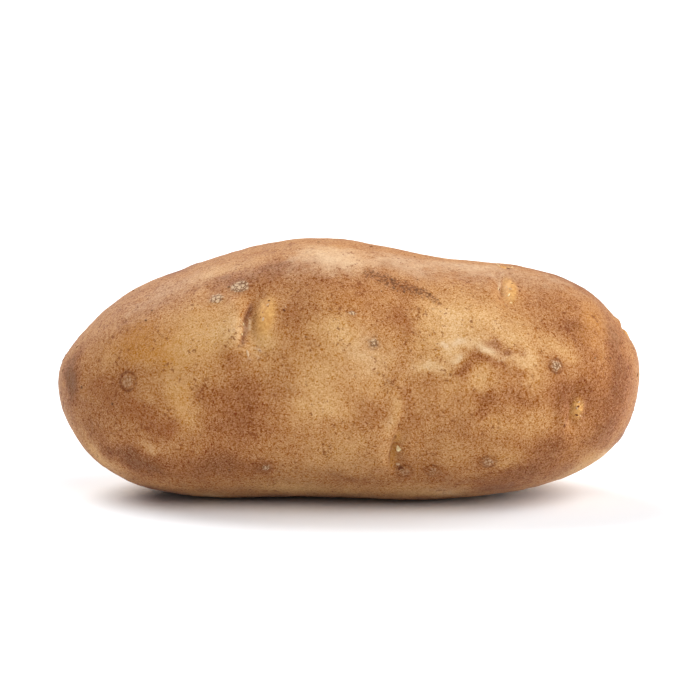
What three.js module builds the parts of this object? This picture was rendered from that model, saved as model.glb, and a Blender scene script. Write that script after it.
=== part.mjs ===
// A raw russet potato lying on the flattest part of its side, as one solid tuber.
// Millimetres. +Z is up, +X runs along the tuber from the stem end to the end where its eyes
// crowd, and -Y is the side with the large browed eye. The origin is on the surface that it
// rests on, under the middle of its bounding box.
import * as THREE from "three";
import { mergeVertices } from "three/addons/utils/BufferGeometryUtils.js";

// The tuber's length, and the height of its two tips above the surface it rests on.
const LENGTH = 130;
const STEM_TIP_HEIGHT = 25.4;
const EYE_TIP_HEIGHT = 27.2;

// Where the skin's outline runs, as [distance from the stem tip, position] pairs. The top line
// and the underside are heights, and where the underside is below 0 it is worn flat. The near
// and far sides are distances from the tuber's axis.
const TOP_LINE = [
  [4, 34.9],
  [13, 43.6],
  [25, 49.6],
  [38, 54.2],
  [50, 57.0],
  [60, 57.7],
  [72, 56.0],
  [84, 53.6],
  [98, 52.2],
  [109, 50.2],
  [119, 45.6],
  [126, 38.4],
];
const UNDERSIDE = [
  [4, 12.7],
  [12, 4.9],
  [24, 0.6],
  [38, -0.7],
  [60, -0.6],
  [78, -1.1],
  [94, -0.1],
  [108, 2.3],
  [118, 6.3],
  [126, 13.3],
];
const NEAR_SIDE = [
  [13, 20.5],
  [35, 29.0],
  [62, 32.0],
  [90, 31.0],
  [112, 25.5],
  [124, 16.5],
];
const FAR_SIDE = [
  [13, 21.5],
  [35, 30.5],
  [62, 33.5],
  [90, 31.0],
  [112, 24.5],
  [124, 15.5],
];

// How bluntly each line turns round the tips, as a radius.
const STEM_END_RADIUS = 17;
const EYE_END_RADIUS = 29;

// A section across the tuber is an oval that is a little squarer than an ellipse.
const SQUARENESS = 0.012;

// Broad swellings and hollows of the flesh. `around` is in degrees round the tuber: 0 faces the
// near side, 90 is the top, 180 the far side and -90 the underside.
const SWELLINGS = [
  { x: 31, around: 12, radius: 13, rise: 1.1 },
  { x: 62, around: 8, radius: 13, rise: 0.8 },
  { x: 91, around: 16, radius: 13, rise: 1.1 },
  { x: 103, around: -32, radius: 11, rise: 0.9 },
  { x: 24, around: -38, radius: 12, rise: 0.7 },
  { x: 76, around: 46, radius: 10, rise: -0.9 },
  { x: 52, around: -34, radius: 12, rise: -0.7 },
  { x: 22, around: 150, radius: 14, rise: 1.2 },
  { x: 46, around: 196, radius: 15, rise: -1.0 },
  { x: 70, around: 178, radius: 15, rise: 1.3 },
  { x: 88, around: 140, radius: 13, rise: -1.1 },
  { x: 100, around: 205, radius: 14, rise: 1.1 },
  { x: 58, around: -128, radius: 14, rise: -0.9 },
  { x: 84, around: -140, radius: 13, rise: 0.8 },
  { x: 34, around: -150, radius: 13, rise: 0.8 },
];

// The eyes, in their order of growth. Each stands about the golden angle on from the last, and
// they come closer together towards the eye end. Each is a hollow as long and as wide as given,
// with a bud in it, and a brow ridge and crease on its stem side.
const EYES = [
  { x: 11, around: 125, size: 0.6, brow: 0.45 },
  { x: 27, around: -122, size: 0.85, brow: 0.6 },
  { x: 47.2, around: 33, size: 1.2, brow: 1.25 },
  { x: 61, around: 165, size: 1.15, brow: 0.9 },
  { x: 77.6, around: -26, size: 1.05, brow: 1.15 },
  { x: 88, around: -146, size: 0.95, brow: 0.8 },
  { x: 101.2, around: 61, size: 0.95, brow: 0.9 },
  { x: 107, around: 200, size: 0.9, brow: 0.7 },
  { x: 115, around: -9, size: 0.75, brow: 0.65 },
  { x: 119, around: 128, size: 0.6, brow: 0.45 },
  { x: 122.5, around: -108, size: 0.55, brow: 0.4 },
  { x: 126.9, around: 84, size: 0.5, brow: 0.5 },
  { x: 128.4, around: -150, size: 0.45, brow: 0.3 },
];

// An eye of size 1: how far it reaches, the half extents of its hollow, and the depths and
// heights of its forms.
const EYE = {
  reach: 28,
  hollowAlong: 6.0,
  hollowAround: 7.5,
  hollowDepth: 1.8,
  browSetback: 5.6,
  browBend: 0.03,
  browHalfWidth: 2.1,
  browReach: 5.6,
  browHeight: 1.1,
  creaseSetback: 3.1,
  creaseHalfWidth: 1.2,
  creaseDepth: 1.2,
  budAlong: 2.4,
  budAround: 4.4,
  budHeight: 1.4,
};

// The navel at the stem end, where the tuber hung on its runner, turned a little to the far side.
const NAVEL = {
  x: 5.6,
  around: 170,
  radius: 3.8,
  depth: 2.0,
  rimRadius: 5.0,
  rimHeight: 0.5,
  rimHalfWidth: 2.0,
};

// How softly the flat spot that the tuber rests on blends into the curve round it, in height.
const REST_BLEND = 0.3;

// Fineness of the surface, and how far its facets are drawn in towards the creases of the eyes.
const DETAIL = 22;
const GATHER = 0.72;
const GATHER_RADIUS = 10;

// The step on the unit sphere that slopes are measured over, and the gap that closes its seams.
const SLOPE_STEP = 0.01;
const SEAM_GAP = 1e-5;

const { abs, acos, atan2, cos, exp, hypot, PI, sin, sqrt } = Math;
const radians = THREE.MathUtils.degToRad;
const gauss = (distance) => exp(-distance * distance);

// A smooth curve through hand-set points: a natural cubic spline of [position, value] pairs.
function smoothCurve(points) {
  const n = points.length - 1;
  const gap = points.slice(1).map((p, i) => p[0] - points[i][0]);
  const slope = gap.map((g, i) => (points[i + 1][1] - points[i][1]) / g);
  const bend = new Array(n + 1).fill(0);
  const upper = new Array(n + 1).fill(0);
  for (let i = 1; i < n; i++) {
    const pivot = 2 * (gap[i - 1] + gap[i]) - gap[i - 1] * upper[i - 1];
    upper[i] = gap[i] / pivot;
    bend[i] = (6 * (slope[i] - slope[i - 1]) - gap[i - 1] * bend[i - 1]) / pivot;
  }
  for (let i = n - 1; i > 0; i--) bend[i] -= upper[i] * bend[i + 1];
  return (position) => {
    let i = 0;
    while (i < n - 1 && position > points[i + 1][0]) i++;
    const ahead = (points[i + 1][0] - position) / gap[i];
    const past = 1 - ahead;
    const curl = (ahead ** 3 - ahead) * bend[i] + (past ** 3 - past) * bend[i + 1];
    return ahead * points[i][1] + past * points[i + 1][1] + (curl * gap[i] ** 2) / 6;
  };
}

// The turn angle runs from 0 at the stem tip to PI at the eye tip, so that a line that is the
// turn's sine times a smooth fullness closes roundly over both tips.
const turnAt = (x) => acos(1 - (2 * x) / LENGTH);
const tipFullness = (radius) => sqrt((radius * LENGTH) / 2);

function roundedLine(points) {
  const fullness = points.map(([x, offset]) => [turnAt(x), offset / sin(turnAt(x))]);
  const curve = smoothCurve([
    [0, tipFullness(STEM_END_RADIUS)],
    ...fullness,
    [PI, tipFullness(EYE_END_RADIUS)],
  ]);
  return (turn) => sin(turn) * curve(turn);
}

const axisHeight = (x) => STEM_TIP_HEIGHT + ((EYE_TIP_HEIGHT - STEM_TIP_HEIGHT) * x) / LENGTH;
const above = roundedLine(TOP_LINE.map(([x, z]) => [x, z - axisHeight(x)]));
const below = roundedLine(UNDERSIDE.map(([x, z]) => [x, axisHeight(x) - z]));
const near = roundedLine(NEAR_SIDE);
const far = roundedLine(FAR_SIDE);

// The plain tuber, with no swellings or eyes: the point at a turn angle and a way round.
function plainPoint(turn, around) {
  const x = (LENGTH / 2) * (1 - cos(turn));
  const oval = 1 - SQUARENESS * cos(4 * around);
  const halfDepth = (near(turn) + far(turn)) / 2;
  const halfHeight = (above(turn) + below(turn)) / 2;
  const middleY = (far(turn) - near(turn)) / 2;
  const middleZ = axisHeight(x) + (above(turn) - below(turn)) / 2;
  return new THREE.Vector3(
    x,
    middleY - halfDepth * oval * cos(around),
    middleZ + halfHeight * oval * sin(around),
  );
}

// The plain tuber at a direction on the unit sphere, and its outward normal there.
const turnOf = (direction) => acos(THREE.MathUtils.clamp(-direction.x, -1, 1));
const aroundOf = (direction) => atan2(direction.z, -direction.y);
const plainAt = (direction) => plainPoint(turnOf(direction), aroundOf(direction));

function directionAt(x, aroundDegrees) {
  const turn = turnAt(x);
  const around = radians(aroundDegrees);
  return new THREE.Vector3(-cos(turn), -sin(turn) * cos(around), sin(turn) * sin(around));
}

function normalAt(direction) {
  const upright = abs(direction.z) > hypot(direction.x, direction.y);
  const side = new THREE.Vector3(upright ? 1 : 0, 0, upright ? 0 : 1);
  const first = new THREE.Vector3().crossVectors(side, direction).normalize();
  const second = new THREE.Vector3().crossVectors(direction, first);
  const slopeAlong = (way) => {
    const ahead = direction.clone().addScaledVector(way, SLOPE_STEP).normalize();
    const behind = direction.clone().addScaledVector(way, -SLOPE_STEP).normalize();
    return plainAt(ahead).sub(plainAt(behind));
  };
  return slopeAlong(first).cross(slopeAlong(second)).normalize();
}

// One swelling or hollow, as the height that it adds at a point.
function swelling({ x, around, radius, rise }) {
  const centre = plainAt(directionAt(x, around));
  return (point) => rise * gauss(point.distanceTo(centre) / radius);
}

// One eye, as the height that it adds at a point. On the skin, `along` runs towards the eye end
// and `across` runs round the tuber.
function eye({ x, around, size, brow }) {
  const direction = directionAt(x, around);
  const centre = plainAt(direction);
  const out = normalAt(direction);
  const along = new THREE.Vector3(1, 0, 0);
  along.addScaledVector(out, -along.dot(out)).normalize();
  const across = new THREE.Vector3().crossVectors(out, along);
  const offset = new THREE.Vector3();
  return (point) => {
    offset.subVectors(point, centre).divideScalar(size);
    if (offset.length() > EYE.reach) return 0;
    const u = offset.dot(along);
    const v = offset.dot(across);
    const hollow = gauss(hypot(u / EYE.hollowAlong, v / EYE.hollowAround));
    const bud = gauss(hypot(u / EYE.budAlong, v / EYE.budAround));
    const behindBrow = u - EYE.browBend * v * v;
    const reach = gauss((v / EYE.browReach) ** 2);
    const ridge = gauss((behindBrow + EYE.browSetback) / EYE.browHalfWidth) * reach;
    const crease = gauss((behindBrow + EYE.creaseSetback) / EYE.creaseHalfWidth) * reach;
    const browForm = EYE.browHeight * ridge - EYE.creaseDepth * crease;
    return size * (EYE.budHeight * bud - EYE.hollowDepth * hollow) + brow * browForm;
  };
}

// The navel at the stem end, as the height that it adds at a point.
function navel({ x, around, radius, depth, rimRadius, rimHeight, rimHalfWidth }) {
  const centre = plainAt(directionAt(x, around));
  return (point) => {
    const reach = point.distanceTo(centre);
    const rim = gauss((reach - rimRadius) / rimHalfWidth);
    return rimHeight * rim - depth * gauss(reach / radius);
  };
}

// Draws a direction in towards the creases of the eyes, so that the facets there are finer.
function gathered(direction, creases) {
  const pull = new THREE.Vector3();
  const point = plainAt(direction);
  for (const crease of creases) {
    const share = GATHER * gauss(point.distanceTo(plainAt(crease)) / GATHER_RADIUS);
    pull.addScaledVector(crease.clone().sub(direction), share);
  }
  return direction.clone().add(pull).normalize();
}

// Wears what is below height 0 to a flat spot, blending softly into the curve round it.
function restedHeight(height) {
  if (height <= -REST_BLEND) return 0;
  if (height >= REST_BLEND) return height;
  return (height + REST_BLEND) ** 2 / (4 * REST_BLEND);
}

function tuberGeometry() {
  const sphere = new THREE.IcosahedronGeometry(1, DETAIL);
  sphere.deleteAttribute("normal");
  sphere.deleteAttribute("uv");
  const geometry = mergeVertices(sphere, SEAM_GAP);
  const forms = [...SWELLINGS.map(swelling), ...EYES.map(eye), navel(NAVEL)];
  const creases = EYES.map(({ x, around, size }) =>
    directionAt(x - EYE.creaseSetback * size, around),
  );
  const position = geometry.getAttribute("position");
  const vertex = new THREE.Vector3();
  for (let i = 0; i < position.count; i++) {
    vertex.fromBufferAttribute(position, i).normalize();
    const direction = gathered(vertex, creases);
    const point = plainAt(direction);
    const rise = forms.reduce((sum, form) => sum + form(point), 0);
    point.addScaledVector(normalAt(direction), rise);
    position.setXYZ(i, point.x, point.y, restedHeight(point.z));
  }
  geometry.computeBoundingBox();
  const middle = geometry.boundingBox.getCenter(new THREE.Vector3());
  geometry.translate(-middle.x, -middle.y, 0);
  geometry.computeVertexNormals();
  return geometry;
}

const skin = new THREE.MeshStandardMaterial({ color: 0xb98252, roughness: 0.62, metalness: 0 });

const tuber = new THREE.Mesh(tuberGeometry(), skin);
tuber.name = "tuber";

const potato = new THREE.Group();
potato.name = "potato";
potato.add(tuber);

export default potato;
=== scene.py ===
"""A raw russet potato lying on its side on a plain white surface, in soft studio light.

The potato is one piece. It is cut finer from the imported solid, and then gets what is too fine
for the solid: the folds, lips and pads of its eyes, its corky spots, the pebbled skin, beads of
new shoots and grains of dry soil. Its colours are painted on the skin as soft layers, which the
skin's finish turns into netted, speckled russet. Lengths are in millimetres, except where
Blender's own metres are named.
"""

from __future__ import annotations

import logging
import math
import random
from dataclasses import dataclass
from enum import Enum

import bpy
import numpy as np
from mathutils import Matrix, Vector, noise

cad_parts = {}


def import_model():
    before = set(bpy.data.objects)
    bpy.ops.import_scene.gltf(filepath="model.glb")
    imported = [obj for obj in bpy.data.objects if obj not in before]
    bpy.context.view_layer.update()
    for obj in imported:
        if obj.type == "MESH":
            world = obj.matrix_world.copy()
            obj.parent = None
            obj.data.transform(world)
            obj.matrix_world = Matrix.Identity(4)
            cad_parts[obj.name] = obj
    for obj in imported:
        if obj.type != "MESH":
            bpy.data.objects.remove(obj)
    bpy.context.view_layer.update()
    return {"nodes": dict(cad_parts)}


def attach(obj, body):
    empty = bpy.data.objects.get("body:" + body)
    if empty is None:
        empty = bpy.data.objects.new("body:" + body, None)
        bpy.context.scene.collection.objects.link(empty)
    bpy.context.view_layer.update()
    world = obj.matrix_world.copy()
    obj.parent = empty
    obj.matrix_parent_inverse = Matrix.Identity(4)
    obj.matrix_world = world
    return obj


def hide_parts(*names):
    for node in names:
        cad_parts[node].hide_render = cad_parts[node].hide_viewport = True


LOG = logging.getLogger("potato")

MILLIMETRE = 0.001

# The height of the potato's middle line, from which places on its skin are looked for.
AXIS_HEIGHT = 27.0

# Skin that lies more than this below a spot is on the potato's other side.
OTHER_SIDE = -15.0

# A distance, in sizes of a mark, at which nothing of the mark is left.
OUT_OF_REACH = 9.0

# A colour as seen on a screen, with 0 to 255 of each light.
Shade = tuple[int, int, int]

# An input or output of a material's node.
Socket = bpy.types.NodeSocket


class Layer(Enum):
    """What is painted on the skin, as one value at each of its points."""

    TONE = "tone"
    OCHRE = "ochre"
    RUST = "rust"
    ASH = "ash"
    # Pale skin, flakes and lips; along the top and on the eyes' lips also partly painted sheen
    # and highlight.
    PALE = "pale"
    CORK = "cork"
    # Dark scars and rings, and painted shade in the folds, slits and pits of the eyes.
    SCAR_AND_SHADE = "scar_and_shade"
    SOIL = "soil"
    HONEY = "honey"
    SHOOT = "shoot"


@dataclass(frozen=True)
class Place:
    """A place on the skin.

    `x` runs from the middle towards the eye end. `turn` is in degrees round the potato: 0 is the
    near side, 90 the top, 180 the far side and -90 the underside.
    """

    x: float
    turn: float


@dataclass(frozen=True)
class Spot:
    """A place found on the skin, with axes of its own."""

    centre: np.ndarray
    out: np.ndarray
    along: np.ndarray
    across: np.ndarray

    def measure(self, points: np.ndarray) -> tuple[np.ndarray, np.ndarray, np.ndarray]:
        """Measures points on this spot's axes.

        Args:
            points: Points of the skin.

        Returns:
            How far each lies along, across and out from the spot.
        """
        offset = points - self.centre
        return offset @ self.along, offset @ self.across, offset @ self.out


def fade(value: np.ndarray, start: float, end: float) -> np.ndarray:
    """Eases from 0 at `start` to 1 at `end`."""
    share = np.clip((value - start) / (end - start), 0.0, 1.0)
    return share * share * (3.0 - 2.0 * share)


def bell(distance: np.ndarray) -> np.ndarray:
    """A soft bump that is 1 at distance 0 and has nearly gone at 2."""
    return np.exp(-distance * distance)


def oval(u: np.ndarray, v: np.ndarray, along: float, across: float, lean: float) -> np.ndarray:
    """Measures how far out points lie on an oval, where its edge is 1.

    Args:
        u: How far along each point lies from the oval's middle.
        v: How far across each point lies.
        along: Half the oval's length.
        across: Half the oval's width.
        lean: How many degrees its length is turned.

    Returns:
        A distance for each point.
    """
    turn = math.radians(lean)
    length = (u * math.cos(turn) + v * math.sin(turn)) / along
    width = (v * math.cos(turn) - u * math.sin(turn)) / across
    return np.hypot(length, width)


def grain_of(points: np.ndarray, size: float, seed: int, octaves: int = 2) -> np.ndarray:
    """Gives smooth random values over points.

    Args:
        points: Points of the skin.
        size: Size of the lumps.
        seed: Which of the random fields to read.
        octaves: How many finer lumps are laid over the first.

    Returns:
        A value for each point, mostly between -1 and 1.
    """
    shift = Vector((17.3 * seed, -9.1 * seed, 4.7 * seed))
    return np.array([noise.fractal(Vector(p) / size + shift, 1.0, 2.1, octaves) for p in points])


def curve_through(line: tuple[tuple[float, float], ...], steps: int = 8) -> np.ndarray:
    """Draws a smooth line through given points.

    Args:
        line: The points, along and across a spot.
        steps: How many parts each stretch is drawn with.

    Returns:
        The drawn line's points, one row each.
    """
    knots = np.array([line[0], *line, line[-1]], float)
    drawn = []
    for a, b, c, d in zip(knots, knots[1:], knots[2:], knots[3:]):
        for share in np.arange(steps) / steps:
            bend = 2 * b + (c - a) * share + (2 * a - 5 * b + 4 * c - d) * share**2
            drawn.append((bend + (3 * b - a - 3 * c + d) * share**3) / 2)
    drawn.append(knots[-1])
    return np.array(drawn)


class Skin:
    """The potato's skin while it is worked: its points, and the layers painted on them.

    The strayed points are the same points pushed about at random, by up to about `STRAY`. What
    is measured on them has a broken, natural edge. A spot's slope is the mean of the skin
    within `SLOPE_REACH` of it. Lifts come in over the heights of `RESTING_FADE`, so that the
    resting spot stays flat.
    """

    STRAY = 1.9
    STRAY_SIZE = 5.0
    STRAY_SEEDS = (11, 12, 13)
    SLOPE_REACH = 6.0
    RESTING_FADE = (0.05, 1.2)

    def __init__(self, body: bpy.types.Object) -> None:
        """Reads the points and outward directions of a mesh.

        Args:
            body: The potato's own object.
        """
        self.body = body
        vertices = body.data.vertices
        flat = np.empty(3 * len(vertices))
        vertices.foreach_get("co", flat)
        self.points = flat.reshape(-1, 3) / MILLIMETRE
        vertices.foreach_get("normal", flat)
        self.outward = flat.reshape(-1, 3).copy()
        self.layers = {layer: np.zeros(len(vertices)) for layer in Layer}
        self.rise = np.zeros(len(vertices))
        stray = [grain_of(self.points, self.STRAY_SIZE, seed, 3) for seed in self.STRAY_SEEDS]
        self.strayed = self.points + self.STRAY * np.stack(stray, axis=1)

    def spot(self, place: Place) -> Spot:
        """Finds a place on the skin.

        Args:
            place: Where to look.

        Returns:
            The spot there, whose outward axis is the mean of the skin round it.
        """
        turn = math.radians(place.turn)
        start = Vector((place.x, 0.0, AXIS_HEIGHT)) * MILLIMETRE
        way = Vector((0.0, -math.cos(turn), math.sin(turn)))
        found, hit, _, _ = self.body.ray_cast(start, way)
        if not found:
            raise ValueError(f"no skin at {place}")
        centre = np.array(hit) / MILLIMETRE
        near = np.linalg.norm(self.points - centre, axis=1) < self.SLOPE_REACH
        out = self.outward[near].mean(axis=0)
        out /= np.linalg.norm(out)
        along = np.array([1.0, 0.0, 0.0]) - out * out[0]
        along /= np.linalg.norm(along)
        return Spot(centre, out, along, np.cross(out, along))

    def paint(self, layer: Layer, amount: np.ndarray) -> None:
        """Adds to a layer, which stays between -1 and 1."""
        self.layers[layer] = np.clip(self.layers[layer] + amount, -1.0, 1.0)

    def cover(self, layer: Layer, amount: np.ndarray) -> None:
        """Raises a layer to an amount wherever it is lower."""
        self.layers[layer] = np.maximum(self.layers[layer], amount)

    def lift(self, height: np.ndarray) -> None:
        """Raises the skin, or sinks it where the height is negative."""
        self.rise += height

    def settle(self) -> None:
        """Moves the points by what they were lifted, and keeps the resting spot flat."""
        free = fade(self.points[:, 2], *self.RESTING_FADE)
        self.points += self.outward * (self.rise * free)[:, None]
        self.points[:, 2] = np.maximum(self.points[:, 2], 0.0)
        self.rise[:] = 0.0
        self.body.data.vertices.foreach_set("co", (self.points * MILLIMETRE).ravel())
        self.body.data.update()

    def store(self) -> None:
        """Keeps the layers as attributes of the mesh."""
        for layer, values in self.layers.items():
            keep_layer(self.body.data, layer, values)


def keep_layer(mesh: bpy.types.Mesh, layer: Layer, values: np.ndarray) -> None:
    """Writes one layer to a mesh.

    Args:
        mesh: The mesh to write to.
        layer: Which layer it is.
        values: A value for each of its points.
    """
    attribute = mesh.attributes.new(layer.value, "FLOAT", "POINT")
    attribute.data.foreach_set("value", values.astype(np.float32))


@dataclass(frozen=True)
class Patch:
    """A soft patch of colour on the skin."""

    place: Place
    along: float
    across: float
    tone: float
    stain: Layer | None = None
    stain_amount: float = 0.0
    lean: float = 0.0

    def lay_on(self, skin: Skin) -> None:
        """Paints the patch.

        Args:
            skin: The skin that it goes on.
        """
        u, v, depth = skin.spot(self.place).measure(skin.strayed)
        share = bell(oval(u, v, self.along, self.across, self.lean)) * (depth > OTHER_SIDE)
        skin.paint(Layer.TONE, self.tone * share)
        if self.stain is not None:
            skin.paint(self.stain, self.stain_amount * share)


@dataclass(frozen=True)
class Lenticel:
    """A corky spot: a low blister with a broken, pale middle and a dark ring.

    The edges, the ring's place and width and the reaches are in radii.
    """

    place: Place
    radius: float
    cork: float
    ring: float = 0.5
    stretch: float = 1.0
    rise: float = 0.14
    middle_edge: tuple[float, float] = (0.62, 0.95)
    blister_edge: tuple[float, float] = (0.7, 1.25)
    ring_place: float = 1.05
    ring_width: float = 0.22
    ring_depth: float = 0.06
    reach: float = 2.5
    crumb_size: float = 0.55
    crumb_seed: int = 5
    crumb_rise: float = 0.09
    raggedness: float = 0.16
    shade: float = -0.25
    shade_reach: float = 1.6

    def lay_on(self, skin: Skin) -> None:
        """Raises the blister and paints it.

        Args:
            skin: The skin that it goes on.
        """
        u, v, depth = skin.spot(self.place).measure(skin.points)
        away = np.hypot(u / self.stretch, v) / self.radius
        near = (away < self.reach) & (depth > OTHER_SIDE)
        away = np.where(near, away, OUT_OF_REACH)
        rough = np.zeros(len(away))
        rough[near] = grain_of(skin.points[near], self.crumb_size, self.crumb_seed)
        edge = away + self.raggedness * rough
        middle = 1.0 - fade(edge, *self.middle_edge)
        blister = 1.0 - fade(edge, *self.blister_edge)
        ring = bell((edge - self.ring_place) / self.ring_width)
        skin.lift(self.rise * blister + self.crumb_rise * rough * middle - self.ring_depth * ring)
        skin.cover(Layer.CORK, self.cork * middle)
        skin.cover(Layer.SCAR_AND_SHADE, self.ring * ring)
        skin.paint(Layer.TONE, self.shade * bell(away / self.shade_reach))


@dataclass(frozen=True)
class Stroke:
    """A fold, lip or crack drawn on the skin.

    The line's points are along and across its spot. `left` and `right` are the half widths on
    the two sides of the line as it is followed, so unequal ones make a step. The mark reaches
    `reach` widths from the line, and thins out over the two tapers, which are shares of the line.
    """

    line: tuple[tuple[float, float], ...]
    left: float
    right: float
    rise: float = 0.0
    stain: Layer | None = None
    stain_amount: float = 0.0
    stain_width: float = 1.0
    tone: float = 0.0
    reach: float = 3.0
    first_taper: tuple[float, float] = (-0.02, 0.22)
    last_taper: tuple[float, float] = (0.78, 1.02)

    def lay_on(self, skin: Skin, spot: Spot) -> None:
        """Raises or sinks the skin beside the line, and paints it.

        Args:
            skin: The skin that it goes on.
            spot: The spot that the line is drawn from.
        """
        u, v, depth = spot.measure(skin.points)
        drawn = curve_through(self.line)
        reach = self.reach * max(self.left, self.right)
        low, high = drawn.min(axis=0) - reach, drawn.max(axis=0) + reach
        near = (u > low[0]) & (u < high[0]) & (v > low[1]) & (v < high[1]) & (depth > OTHER_SIDE)
        here = np.stack([u[near], v[near]], axis=1)
        gaps = here[:, None, :] - drawn[None, :, :]
        distances = np.linalg.norm(gaps, axis=2)
        closest = distances.argmin(axis=1)
        away = distances.min(axis=1)
        way = np.gradient(drawn, axis=0)[closest]
        gap = gaps[np.arange(len(here)), closest]
        on_left = way[:, 0] * gap[:, 1] - way[:, 1] * gap[:, 0] > 0.0
        width = np.where(on_left, self.left, self.right)
        share = closest / (len(drawn) - 1)
        taper = fade(share, *self.first_taper) * (1.0 - fade(share, *self.last_taper))
        form = bell(away / width) * taper
        stain = bell(away / (width * self.stain_width)) * taper
        self._spread(skin, np.flatnonzero(near), form, stain)

    def _spread(self, skin: Skin, index: np.ndarray, form: np.ndarray, stain: np.ndarray) -> None:
        """Puts the stroke's height and colours on the points near it.

        Args:
            skin: The skin that it goes on.
            index: Which points are near.
            form: The stroke's share of height at each.
            stain: The stroke's share of colour at each.
        """
        height = np.zeros(len(skin.points))
        height[index] = self.rise * form
        skin.lift(height)
        colour = np.zeros(len(skin.points))
        colour[index] = stain
        skin.paint(Layer.TONE, self.tone * colour)
        if self.stain is not None:
            skin.cover(self.stain, self.stain_amount * colour)


@dataclass(frozen=True)
class Pad:
    """A smooth oval pad or pit inside an eye.

    `at` is its place along and across the eye. A `squareness` above 1 gives it a flatter top and
    steeper sides.
    """

    at: tuple[float, float]
    along: float
    across: float
    rise: float
    stain: Layer
    stain_amount: float
    lean: float = 0.0
    squareness: float = 1.5

    def lay_on(self, skin: Skin, spot: Spot) -> None:
        """Raises or sinks the oval, and paints it.

        Args:
            skin: The skin that it goes on.
            spot: The spot that it is measured from.
        """
        u, v, depth = spot.measure(skin.points)
        away = oval(u - self.at[0], v - self.at[1], self.along, self.across, self.lean)
        share = bell(away**self.squareness) * (depth > OTHER_SIDE)
        skin.lift(self.rise * share)
        skin.cover(self.stain, self.stain_amount * share)


@dataclass(frozen=True)
class Bead:
    """A bead, flake or sliver on the skin: a shoot's tip, a scale of bark or a grain of soil.

    `at` is its place along and across its spot. `height` is its height as a share of its width,
    `stretch` is how many times longer than wide it is, and `lean` turns its length from level.
    """

    at: tuple[float, float]
    radius: float
    layer: Layer = Layer.SHOOT
    height: float = 0.8
    stretch: float = 1.15
    lean: float = 0.0


@dataclass(frozen=True)
class Eye:
    """An eye, with everything that is drawn and set in it."""

    place: Place
    strokes: tuple[Stroke, ...] = ()
    pads: tuple[Pad, ...] = ()
    beads: tuple[Bead, ...] = ()

    def lay_on(self, skin: Skin) -> None:
        """Shapes and paints the eye.

        Args:
            skin: The skin that it goes on.
        """
        spot = skin.spot(self.place)
        for pad in self.pads:
            pad.lay_on(skin, spot)
        for stroke in self.strokes:
            stroke.lay_on(skin, spot)


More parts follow.
